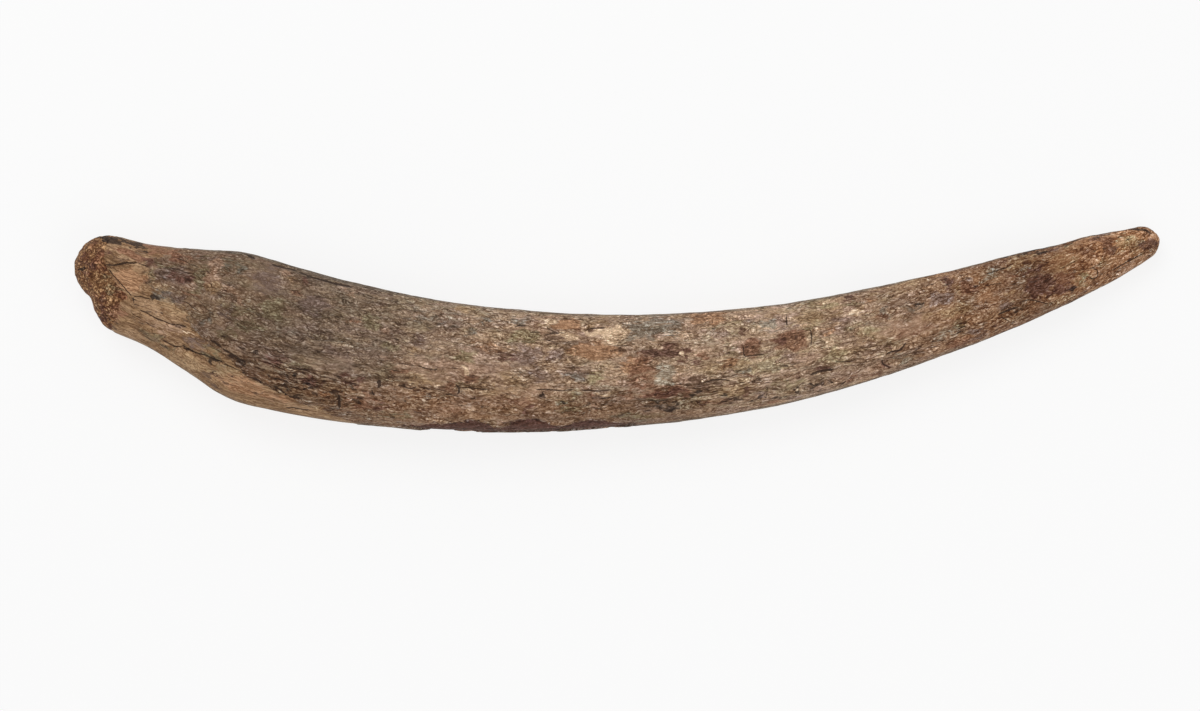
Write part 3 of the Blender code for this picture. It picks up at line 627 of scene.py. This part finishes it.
def buildTusk():
    piece, along, around = startGrid()
    mesh = piece.data
    print("tusk grid", len(along), "points")

    point, spine, rounding = ovalPoint(along, around)
    inward, upward = np.cos(np.radians(around)), np.sin(np.radians(around))
    perDegree = mmPerDegree(along)

    def uneven(name):
        amount, *shape = unevenShapes[name]
        return amount * unevenness(point, *shape)

    # the outer layer starts at a ragged edge that closes on itself, bare ivory lies before it and
    # the spongy core before that
    circle = np.stack((3.5 * inward, 3.5 * upward, np.full_like(along, 3.1)), 1)
    barkStart = through(barkEdge, around) + 4.0 * unevenness(circle, 1.0, 3, 0.0, 0.7, 2.1)
    barkPast = along - barkStart + uneven("barkEdge")
    barkThick = through(barkEdge, around, 2) * rounding
    corePast = along - through(coreEdge, around) + uneven("coreEdge")
    bark = ease(barkPast / tusk["barkStep"])
    core = ease(-corePast)
    ivory = (1 - bark) * (1 - core)

    # how much of each place a mark covers, for one seen from above and for one placed round the tusk
    seenX, seenY = seenAt(bent(point) * mm)
    strayX = seenX + uneven("strayX")
    strayY = seenY + uneven("strayY")
    turnHere = (along - tusk["bendLowest"]) / tusk["bendRadius"]
    upper = ease((upward + 0.3) / 0.3)

    def seenCover(middleX, middleY, halfLength, halfWidth, most):
        x, y = strayX - middleX, strayY - middleY
        lengthwise = (x * np.cos(turnHere) - y * np.sin(turnHere)) / halfLength
        across = (x * np.sin(turnHere) + y * np.cos(turnHere)) / halfWidth
        return upper * most * np.clip(1.25 - 0.8 * (lengthwise**2 + across**2), 0, 1)

    def lowCover(middle, angle, halfLength, halfWidth, most):
        lengthwise = (along - middle) / halfLength
        across = degreesBetween(around, angle) * perDegree / halfWidth
        return most * np.clip(1.25 - 0.8 * (lengthwise**2 + across**2), 0, 1)

    def mostOf(cover, places):
        covered = np.zeros_like(along)
        for place in places:
            covered = np.maximum(covered, cover(*place))
        return covered

    # the relief is calmer below, and at both sides where the outline is seen
    print("tusk relief")
    quiet = 1 - 0.7 * np.maximum(0, -upward)
    calm = quiet * (1 - 0.6 * ease((np.abs(inward) - 0.7) / 0.25))
    broad = calm * relief["broad"] * uneven("broad")
    ridges = calm * (relief["ivoryRidges"] * ivory + relief["barkRidges"] * bark) * uneven("ridges")
    height = broad + ridges + bark * barkThick
    lumps = relief["spongeLumps"] * calm * uneven("spongeLumps")
    height += core * (lumps - relief["spongePits"] * (1 + uneven("spongePits")))
    height -= through(coreEdge, around, 2) * np.exp(-((corePast / 0.9) ** 2))
    for angle, first, last, depth in flutes:
        wander = np.array([5 * noise.noise((a / 120, angle, 0.4)) for a in along.tolist()])
        off = degreesBetween(around, angle + wander) / relief["fluteDegrees"]
        present = ease((along - first) / 24) * ease((last - along) / 24)
        height -= depth * present * np.exp(-off * off)
    beds = np.zeros_like(along)
    bedRagged = uneven("beds")
    for middle, halfLength, angle, halfWidth, depth in flakeBeds:
        off = np.hypot((along - middle) / halfLength, degreesBetween(around, angle) / halfWidth)
        beds = np.maximum(beds, depth * ease((1 - off + bedRagged) / 0.18))
    height -= beds

    # the scalloped strip on the outside of the bend
    edge = through(stripEdge, along) + uneven("stripEdge")
    lower = strip["end"] + uneven("stripEnd")
    stripPast = np.minimum((around - edge) * perDegree, (lower - around) * perDegree)
    fromEnds = strip["taper"] * np.minimum(along - strip["from"], strip["to"] - along)
    stripPast = np.minimum(stripPast, fromEnds)
    stripPast[around > strip["last"]] = -9
    height -= strip["depth"] * ease(stripPast / strip["step"])

    # thin layers, broken off along ledges
    layers = uneven("layers") + uneven("layerEdges")
    height += bark * calm * relief["layers"] * (np.floor(layers) + ease((layers - np.floor(layers)) / 0.3))
    smooth = mostOf(seenCover, smoothed)
    fibres = bark * relief["fibres"] * (1 - 0.7 * smooth) + ivory * relief["ivoryFibres"]
    height += fibres * uneven("fibres")

    print("tusk cracks")
    sway = uneven("crackSway")
    pixel = (overhead["place"][2] - overhead["pixelHeight"]) / mm / viewScale

    def crackCourses():
        for width, depth, *points in lines:
            away, reached, total = awayFromLine(seenX, seenY, points)
            fade = min(5.0, total / 3)
            opening = ease((reached + 1) / fade) * ease((total + 1 - reached) / fade) * (upper > 0.5)
            yield away * pixel + 0.3 * sway, opening, relief["seenLines"] * depth, width
        for width, depth, *course in lowLines:
            turns = [(place, angle % 360) for place, angle in course]
            opening = ease((along - course[0][0]) / 8) * ease((course[-1][0] - along) / 8)
            away = degreesBetween(around, through(turns, along)) * perDegree + 0.5 * sway
            yield away, opening, depth, width
        for middle, angle, half, depth, width, lean in fissureCourses():
            share = (along - middle) / half
            opening = np.sqrt(np.maximum(0, 1 - share * share))
            away = (degreesBetween(around, angle) - lean * share) * perDegree + 0.7 * sway
            yield away, opening, depth, width

    cut, crackHalf = np.zeros_like(along), np.zeros_like(along)
    crackAway = np.full_like(along, 9.0)
    for away, opening, depth, width in crackCourses():
        half = max(width / 2, relief["narrowest"])
        cut = np.maximum(cut, depth * opening * np.exp(-((away / half) ** 2)))
        nearer = (np.abs(away) < np.abs(crackAway)) & (opening > 0) & (np.abs(away) < lineReach)
        crackAway[nearer] = away[nearer]
        crackHalf[nearer] = (width / 2 * opening)[nearer]
    height -= cut
    rotted = ease((mostOf(lowCover, hollows) + uneven("rot") - 0.8) / 0.2) * bark
    pit = relief["hollows"] * rotted
    height -= pit

    outward = point - spine
    outward /= np.linalg.norm(outward, axis=1)[:, None]
    shaped = point + outward * height[:, None]
    shaped[:, 2] -= ivory * chipped(shaped, along)
    mesh.vertices.foreach_set("co", keptInBox(bent(shaped) * mm).ravel())
    mesh.update()

    print("tusk tones")
    storeValues(mesh, "straight", *(point * mm).T)
    storeValues(mesh, "edges", corePast, barkPast, stripPast)
    storeValues(mesh, "crack", crackAway, crackHalf, pit)
    # painted shade: a thin band along both sides, where they turn away from the lamps above, stored first
    # in the weather attribute
    paintedSideShade = ease((np.abs(inward) - 0.92) / 0.07) * ease((upward + 0.2) / 0.2)
    outside = ease((around - 95) / 25) * ease((330 - around) / 40)
    light = through(weather, along) * (1 - outside) + through(weather, along, 2) * outside
    warmth = through(weather, along, 3) * (1 - outside) + through(weather, along, 4) * outside
    storeValues(mesh, "weather", paintedSideShade, light, warmth)
    close = np.where(upper < 0.5, 0.4, mostOf(seenCover, threaded))
    calmGrain = np.maximum(smooth, through(weather, along, 5))
    storeValues(mesh, "grainKind", calmGrain, close, smooth)
    scattered = moreSideMarks()

    def toneCover(name):
        below = mostOf(lowCover, (*lowMarks[name], *scattered[name]))
        return np.maximum(mostOf(seenCover, marks[name]), (1 - upper) * below)

    for setName, names in toneSets.items():
        storeValues(mesh, setName, *(toneCover(name) for name in names))

    bpy.ops.object.mode_set(mode="EDIT")
    bpy.ops.mesh.select_all(action="SELECT")
    bpy.ops.mesh.normals_make_consistent(inside=False)
    bpy.ops.object.mode_set(mode="OBJECT")
    bpy.ops.object.shade_smooth()
    return piece


# sRGB 0 to 255 as a linear colour
def tone(*channels):
    linear = [c / 255 / 12.92 if c <= 10 else ((c / 255 + 0.055) / 1.055) ** 2.4 for c in channels]
    return linear + [1.0]


class NodeBench:
    def __init__(self, name):
        self.material = bpy.data.materials.new(name)
        self.material.use_nodes = True
        self.tree = self.material.node_tree
        self.shader = self.tree.nodes["Principled BSDF"]

    def add(self, kind, inputs=(), **settings):
        made = self.tree.nodes.new(kind)
        for key, value in settings.items():
            setattr(made, key, value)
        for key, value in dict(inputs).items():
            self.plug(made.inputs[key], value)
        return made

    def plug(self, socket, value):
        if isinstance(value, bpy.types.NodeSocket):
            self.tree.links.new(value, socket)
        elif isinstance(value, bpy.types.Node):
            self.tree.links.new(value.outputs[0], socket)
        else:
            socket.default_value = value

    def maths(self, operation, first, second=0.0, clamp=False):
        made = self.add("ShaderNodeMath", {0: first, 1: second}, operation=operation, use_clamp=clamp)
        return made.outputs[0]

    def times(self, first, second):
        return self.maths("MULTIPLY", first, second)

    def plus(self, first, second):
        return self.maths("ADD", first, second)

    def minus(self, first, second, clamp=False):
        return self.maths("SUBTRACT", first, second, clamp)

    def centred(self, value):
        return self.minus(value, 0.5)

    # the first number where the share is 0, the second where it is 1
    def choose(self, share, first, second):
        return self.add("ShaderNodeMix", {0: share, 2: first, 3: second}, data_type="FLOAT").outputs[0]

    # the same for colours, or another blend of the two
    def mix(self, share, first, second, blend="MIX"):
        ends = {0: share, 6: first, 7: second}
        return self.add("ShaderNodeMix", ends, data_type="RGBA", blend_type=blend).outputs[2]

    def step(self, value, low, high, outLow=0.0, outHigh=1.0):
        ends = {"Value": value, "From Min": low, "From Max": high, "To Min": outLow, "To Max": outHigh}
        return self.add("ShaderNodeMapRange", ends, interpolation_type="SMOOTHSTEP").outputs[0]

    # places measured in a grain's own length and width, given in mm
    def fitted(self, vector, length, width, seed=0.0):
        scale = [1 / (size * mm) for size in (length, width, width)]
        shift = (seed, seed * 0.7, seed * 1.3)
        made = self.add("ShaderNodeMapping", {"Vector": vector, "Scale": scale, "Location": shift})
        return made.outputs[0]

    def grain(self, vector, length, width, detail, roughness, seed):
        placed = self.fitted(vector, length, width, seed)
        inputs = {"Vector": placed, "Scale": 1.0, "Detail": detail, "Roughness": roughness}
        return self.add("ShaderNodeTexNoise", inputs).outputs[0]

    # a factor that is dark in thin lines where the grain crosses its middle value, pale beside them
    def threads(self, value, width, darker, paler, share):
        away = self.maths("ABSOLUTE", self.centred(value))
        dark = self.step(away, width * 0.15, width, darker, 0.0)
        pale = self.step(away, width * 0.8, width * 1.5, 0.0, paler)
        pale = self.times(pale, self.step(away, width * 2.0, width * 3.6, 1.0, 0.0))
        return self.plus(self.times(self.minus(pale, dark), share), 1.0)

    # flakes of a given size in mm: how far each place is from an edge, and each flake's own value
    def flakes(self, vector, length, width, seed):
        inputs = {"Vector": self.fitted(vector, length, width, seed), "Scale": 1.0}
        fromEdge = self.add("ShaderNodeTexVoronoi", inputs, feature="DISTANCE_TO_EDGE")
        own = self.add("ShaderNodeTexVoronoi", inputs).outputs["Color"]
        return fromEdge.outputs["Distance"], self.add("ShaderNodeSeparateColor", {0: own}).outputs[0]

    # places moved about a little, by up to about half the reach in mm
    def warped(self, vector, size, reachMm):
        inputs = {"Vector": self.fitted(vector, size * 2, size), "Scale": 1.0, "Detail": 2.0}
        way = self.add("ShaderNodeTexNoise", inputs).outputs["Color"]
        way = self.add("ShaderNodeVectorMath", {0: way, 1: (0.5, 0.5, 0.5)}, operation="SUBTRACT")
        way = self.add("ShaderNodeVectorMath", {0: way, "Scale": reachMm * mm}, operation="SCALE")
        return self.add("ShaderNodeVectorMath", {0: vector, 1: way}, operation="ADD").outputs[0]

    def colour(self, red, green, blue):
        return self.add("ShaderNodeCombineColor", {0: red, 1: green, 2: blue}).outputs[0]

    def attribute(self, name):
        return self.add("ShaderNodeAttribute", attribute_name=name).outputs

    # the three values stored in one of the mesh's attributes
    def stored(self, name):
        return self.add("ShaderNodeSeparateXYZ", {0: self.attribute(name)["Vector"]}).outputs


colours = {
    "greyBrown": tone(134, 114, 97),
    "tan": tone(174, 149, 124),
    "brownish": tone(124, 94, 75),
    "warmBrown": tone(162, 122, 90),
    "ivory": tone(170, 134, 98),
    "ivoryDeep": tone(138, 104, 74),
    "ivoryPale": tone(188, 152, 118),
    "sponge": tone(176, 133, 93),
    "spongeRed": tone(148, 100, 71),
    "ochre": tone(192, 158, 120),
    "orange": tone(188, 142, 106),
    "pink": tone(192, 156, 130),
    "cream": tone(244, 212, 178),
    "rust": tone(154, 110, 84),
    "maroon": tone(118, 80, 66),
    "brown": tone(124, 96, 76),
    "dark": tone(52, 38, 31),
    "slate": tone(119, 111, 100),
    "olive": tone(142, 128, 97),
    "plum": tone(130, 108, 98),
    "pale": tone(156, 141, 121),
    "pinkGrey": tone(156, 130, 115),
    # painted shade in the cracks over their own dark fill, in the rotted hollows, and painted shadow under
    # the strip's ledge
    "line": tone(54, 37, 28),
    # painted shade for the band along both sides
    "paintedSideShade": tone(120, 111, 98),
    "strip": tone(102, 64, 54),
}
# grain in the finish: length and width in mm, detail, roughness, seed
finishGrains = {
    "fine": (1.3, 0.8, 1, 0.6, 3.1),
    "streak": (3.8, 0.72, 2, 0.65, 8.3),
    "broad": (20, 1.8, 4, 0.65, 1.7),
    "patchy": (6, 1.9, 4, 0.68, 14.2),
    "mottle": (26, 9, 3, 0.6, 21.9),
    "edge": (1.9, 1.0, 3, 0.65, 33.0),
    "threadShare": (14, 6, 2, 0.5, 44.0),
    "wideThreads": (9, 2.4, 3, 0.6, 41.0),
    "narrowThreads": (4.2, 1.5, 2, 0.55, 51.0),
    "longThreads": (22, 1.7, 3, 0.55, 57.0),
    "ivoryThreads": (16, 1.4, 3, 0.6, 71.0),
    "spongeRed": (7, 7, 2, 0.6, 63.0),
    "spongeWorm": (2.1, 1.8, 2, 0.55, 61.0),
    "spongeLight": (1.5, 1.2, 2, 0.6, 65.0),
}
# soft clouds of tone in the outer layer: seed, how much of each shows at most
clouds = {"olive": (5.5, 0.4), "pinkGrey": (9.5, 0.7), "slate": (12.5, 0.25), "plum": (17.5, 0.35)}
# how soft each tone's edge is, how ragged, and how much of it shows at most: first the tones that
# the weather makes lighter or darker, then those laid over them
weatheredTones = {
    "olive": (0.6, 0.9, 0.75), "plum": (0.6, 0.9, 0.8), "slate": (0.5, 0.9, 0.85), "pale": (0.5, 1.0, 0.65),
}
laidTones = {
    "pink": (0.5, 0.9, 0.75), "ochre": (0.5, 0.9, 0.75), "orange": (0.4, 0.8, 0.85),
    "rust": (0.45, 0.8, 0.9), "brown": (0.4, 0.9, 0.85), "maroon": (0.5, 1.1, 0.85),
    "cream": (0.14, 0.6, 0.95), "dark": (0.35, 1.3, 0.85),
}
finish = {"specular": 0.25, "roughness": (0.72, 0.92), "bump": 0.0006}


def ivoryMaterial():
    bench = NodeBench("fossilIvory")
    times, plus, minus, centred = bench.times, bench.plus, bench.minus, bench.centred
    choose, mix, step, threads = bench.choose, bench.mix, bench.step, bench.threads
    straightPlain = bench.attribute("straight")["Vector"]
    corePast, barkPast, stripPast = bench.stored("edges")
    crackAway, crackHalf, pit = bench.stored("crack")
    # first the painted shade along both sides, then how light and how warm the outer layer is
    paintedSideShadeShare, light, warmth = bench.stored("weather")
    calm, close, smooth = bench.stored("grainKind")

    # no line of the grain runs quite straight, and the flakes are ragged
    straight = bench.warped(straightPlain, 5.5, 5.0)
    ragged = bench.warped(straight, 1.1, 1.8)
    grain = {name: bench.grain(straight, *sizes) for name, sizes in finishGrains.items()}
    fine, streak, broad, patchy, mottle = (
        grain[name] for name in ("fine", "streak", "broad", "patchy", "mottle")
    )
    edgeNoise = centred(grain["edge"])
    flakeEdge, flakeOwn = bench.flakes(ragged, 3.4, 1.15, 0.3)
    scaleEdge, scaleOwn = bench.flakes(ragged, 7.5, 2.6, 5.3)

    # the weathered outer layer, in soft clouds of tone
    body = mix(step(broad, 0.34, 0.66), colours["greyBrown"], colours["tan"])
    body = mix(step(patchy, 0.52, 0.70, 0.0, 0.4), body, colours["brownish"])
    body = mix(times(warmth, step(mottle, 0.2, 0.5)), body, colours["warmBrown"])
    for name, (seed, most) in clouds.items():
        cloud = step(bench.grain(straightPlain, 20, 8, 3, 0.6, seed), 0.48, 0.68, 0.0, most)
        body = mix(times(cloud, choose(warmth, 1.0, 0.4)), body, colours[name])

    # bare ivory before it, and the spongy core before that
    ivoryTone = mix(step(broad, 0.35, 0.65), colours["ivory"], colours["ivoryDeep"])
    ivoryTone = mix(step(mottle, 0.45, 0.65, 0.0, 0.8), ivoryTone, colours["ivoryPale"])
    fingers = plus(times(edgeNoise, 5.0), times(centred(broad), 24.0))
    fingers = plus(fingers, times(centred(flakeOwn), 4.0))
    barkShare = step(plus(barkPast, fingers), -0.3, 0.5)
    coreShare = step(plus(corePast, times(edgeNoise, 3.0)), -0.4, 0.3, 1.0, 0.0)
    spongeTone = mix(step(grain["spongeRed"], 0.45, 0.62), colours["sponge"], colours["spongeRed"])
    body = mix(barkShare, ivoryTone, body)
    body = mix(coreShare, body, spongeTone)

    # tones laid over them in patches, whose edges follow the flakes
    jitter = plus(times(step(patchy, 0.36, 0.64), 0.35), times(flakeOwn, 0.2))
    jitter = centred(plus(times(scaleOwn, 0.45), jitter))
    covers = {}
    for setName, names in toneSets.items():
        layer = bench.attribute(setName)
        first, second, third = bench.add("ShaderNodeSeparateColor", {0: layer["Color"]}).outputs
        covers.update(zip(names, (first, second, third, layer["Alpha"])))

    def patched(body, tones):
        for name, (soft, spread, most) in tones.items():
            share = plus(covers[name], times(jitter, spread))
            share = step(share, 0.5 - soft / 2, 0.5 + soft / 2, 0.0, most)
            body = mix(share, body, colours[name])
        return body

    body = patched(body, weatheredTones)
    lightHere = choose(barkShare, 1.0, light)
    body = mix(1.0, body, bench.colour(lightHere, lightHere, lightHere), "MULTIPLY")
    body = patched(body, laidTones)
    stripHere = plus(stripPast, plus(times(edgeNoise, 7.0), times(centred(scaleOwn), 2.0)))
    body = mix(step(stripHere, -0.2, 0.3, 0.0, 0.9), body, colours["strip"])
    # painted shadow: a dark line along the foot of the ledge at the strip's upper edge
    paintedLedgeShadow = times(step(stripHere, -0.2, 0.2), step(stripHere, 0.5, 1.1, 0.8, 0.0))
    body = mix(paintedLedgeShadow, body, colours["line"])
    fleck = times(step(stripPast, -2.4, -0.8), step(stripPast, 0.2, 1.2, 1.0, 0.0))
    body = mix(times(fleck, step(flakeOwn, 0.66, 0.72, 0.0, 0.7)), body, colours["pinkGrey"])

    # painted shade: a thin dull grey band along both sides, where they turn away from the lamps above
    paintedSideShade = step(plus(paintedSideShadeShare, times(centred(mottle), 1.2)), 0.35, 1.0, 0.0, 0.6)
    paintedSideShade = times(paintedSideShade, minus(1.0, covers["dark"], clamp=True))
    paintedSideShade = times(paintedSideShade, choose(barkShare, 0.6, 1.0))
    paintedSideShade = times(paintedSideShade, step(stripHere, -0.2, 0.8, 1.0, 0.3))
    body = mix(times(paintedSideShade, step(corePast, 0, 6)), body, colours["paintedSideShade"])

    # light and dark grain, flakes with dark edges, and dark threads that have pale sides
    value = step(plus(times(streak, 0.55), times(fine, 0.45)), 0.34, 0.66, 0.53, 1.36)
    flakeValue = times(step(flakeEdge, 0.0, 0.18, 0.54, 1.05), step(flakeOwn, 0.0, 1.0, 0.88, 1.1))
    scaleValue = times(step(scaleEdge, 0.0, 0.09, 0.72, 1.02), step(scaleOwn, 0.0, 1.0, 0.94, 1.06))
    flakeValue = choose(times(close, 0.5), times(flakeValue, scaleValue), 0.88)
    threadShare = step(grain["threadShare"], 0.36, 0.56, 0.3, 1.0)
    wide = threads(grain["wideThreads"], 0.06, 0.62, 0.3, threadShare)
    narrow = threads(grain["narrowThreads"], 0.08, 0.5, 0.3, threadShare)
    long = threads(grain["longThreads"], 0.07, 0.8, 0.45, close)
    barkValue = times(times(times(value, 1.19), flakeValue), times(wide, narrow))
    barkValue = choose(times(calm, 0.6), barkValue, 1.0)
    barkValue = times(barkValue, choose(times(smooth, 0.6), long, 1.0))
    ivoryValue = step(plus(times(streak, 0.6), times(fine, 0.4)), 0.35, 0.65, 0.8, 1.2)
    ivoryValue = times(ivoryValue, threads(grain["ivoryThreads"], 0.05, 0.45, 0.2, 1.0))
    worm = threads(grain["spongeWorm"], 0.13, 0.72, 0.4, 1.0)
    spongeValue = times(worm, step(grain["spongeLight"], 0.36, 0.64, 0.52, 1.6))
    valueHere = choose(coreShare, choose(barkShare, ivoryValue, barkValue), spongeValue)
    # its darks are warm and its lights pale
    powers = (0.94, plus(times(warmth, 0.2), 1.05), plus(times(warmth, 0.42), 1.16))
    shade = bench.colour(*(bench.maths("POWER", valueHere, power) for power in powers))
    body = mix(1.0, body, shade, "MULTIPLY")

    # cracks and hollows, darkened with painted shade; in the cracks it lies over their own dark fill
    broken = plus(times(edgeNoise, 1.6), 0.62)
    crackLine = minus(times(broken, crackHalf), bench.maths("ABSOLUTE", crackAway))
    crackShare = times(step(crackLine, -0.16, 0.1), step(crackHalf, 0.02, 0.3, 0.0, 0.88))
    body = mix(crackShare, body, colours["line"])
    # painted shade in the rotted hollows, darkest where they are deepest
    hollowShare = step(plus(pit, times(centred(fine), 0.8)), 0.25, 0.8, 0.0, 0.75)
    body = mix(hollowShare, body, colours["line"])

    bench.plug(bench.shader.inputs["Base Color"], body)
    bench.shader.inputs["Metallic"].default_value = 0.0
    bench.shader.inputs["Specular IOR Level"].default_value = finish["specular"]
    bench.plug(bench.shader.inputs["Roughness"], step(streak, 0.35, 0.65, *finish["roughness"]))
    bump = minus(plus(times(streak, 0.5), times(valueHere, 0.45)), times(crackShare, 0.8))
    bumped = bench.add("ShaderNodeBump", {"Height": bump, "Strength": 1.0, "Distance": finish["bump"]})
    bench.plug(bench.shader.inputs["Normal"], bumped)
    print("ivory finish")
    return bench.material


stage = {
    "floorSize": 6.0,
    "floorColour": (0.16, 0.16, 0.16, 1.0),
    "floorGlow": 0.81,
    "floorRoughness": 0.9,
    "worldStrength": 0.55,
    # each lamp's place, size and energy
    "lamps": {"softTop": ((-0.5, 0.9, 1.6), 1.2, 11.0), "softSide": ((0.9, -0.8, 1.5), 1.4, 5.0)},
}


def buildStage():
    deselectAll()
    bpy.ops.mesh.primitive_plane_add(size=stage["floorSize"], location=(0, 0, 0))
    floor = bpy.context.object
    floor.name = "paleFloor"
    bench = NodeBench("palePaper")
    bench.shader.inputs["Base Color"].default_value = stage["floorColour"]
    bench.shader.inputs["Roughness"].default_value = stage["floorRoughness"]
    bench.shader.inputs["Emission Color"].default_value = (1, 1, 1, 1)
    bench.shader.inputs["Emission Strength"].default_value = stage["floorGlow"]
    floor.data.materials.append(bench.material)

    world = bpy.data.worlds.new("studio")
    world.use_nodes = True
    sky = world.node_tree.nodes["Background"]
    sky.inputs[0].default_value = (1, 1, 1, 1)
    sky.inputs[1].default_value = stage["worldStrength"]
    scene = bpy.context.scene
    scene.world = world

    # round soft lamps, aimed at the origin
    for name, (place, size, energy) in stage["lamps"].items():
        light = bpy.data.lights.new(name, "AREA")
        light.shape = "DISK"
        light.size = size
        light.energy = energy
        lamp = bpy.data.objects.new(name, light)
        scene.collection.objects.link(lamp)
        lamp.location = place
        lamp.rotation_euler = (-Vector(place)).to_track_quat("-Z", "Y").to_euler()

    camera = bpy.data.cameras.new("overhead")
    camera.lens = overhead["lens"]
    camera.sensor_width = overhead["sensor"]
    camera.clip_start = 0.01
    view = bpy.data.objects.new("overhead", camera)
    scene.collection.objects.link(view)
    view.location = overhead["place"]
    scene.camera = view
    scene.view_settings.view_transform = "Standard"
    print("stage")


piece = buildTusk()
piece.data.materials.append(ivoryMaterial())
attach(piece, "root")
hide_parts("tusk")
buildStage()
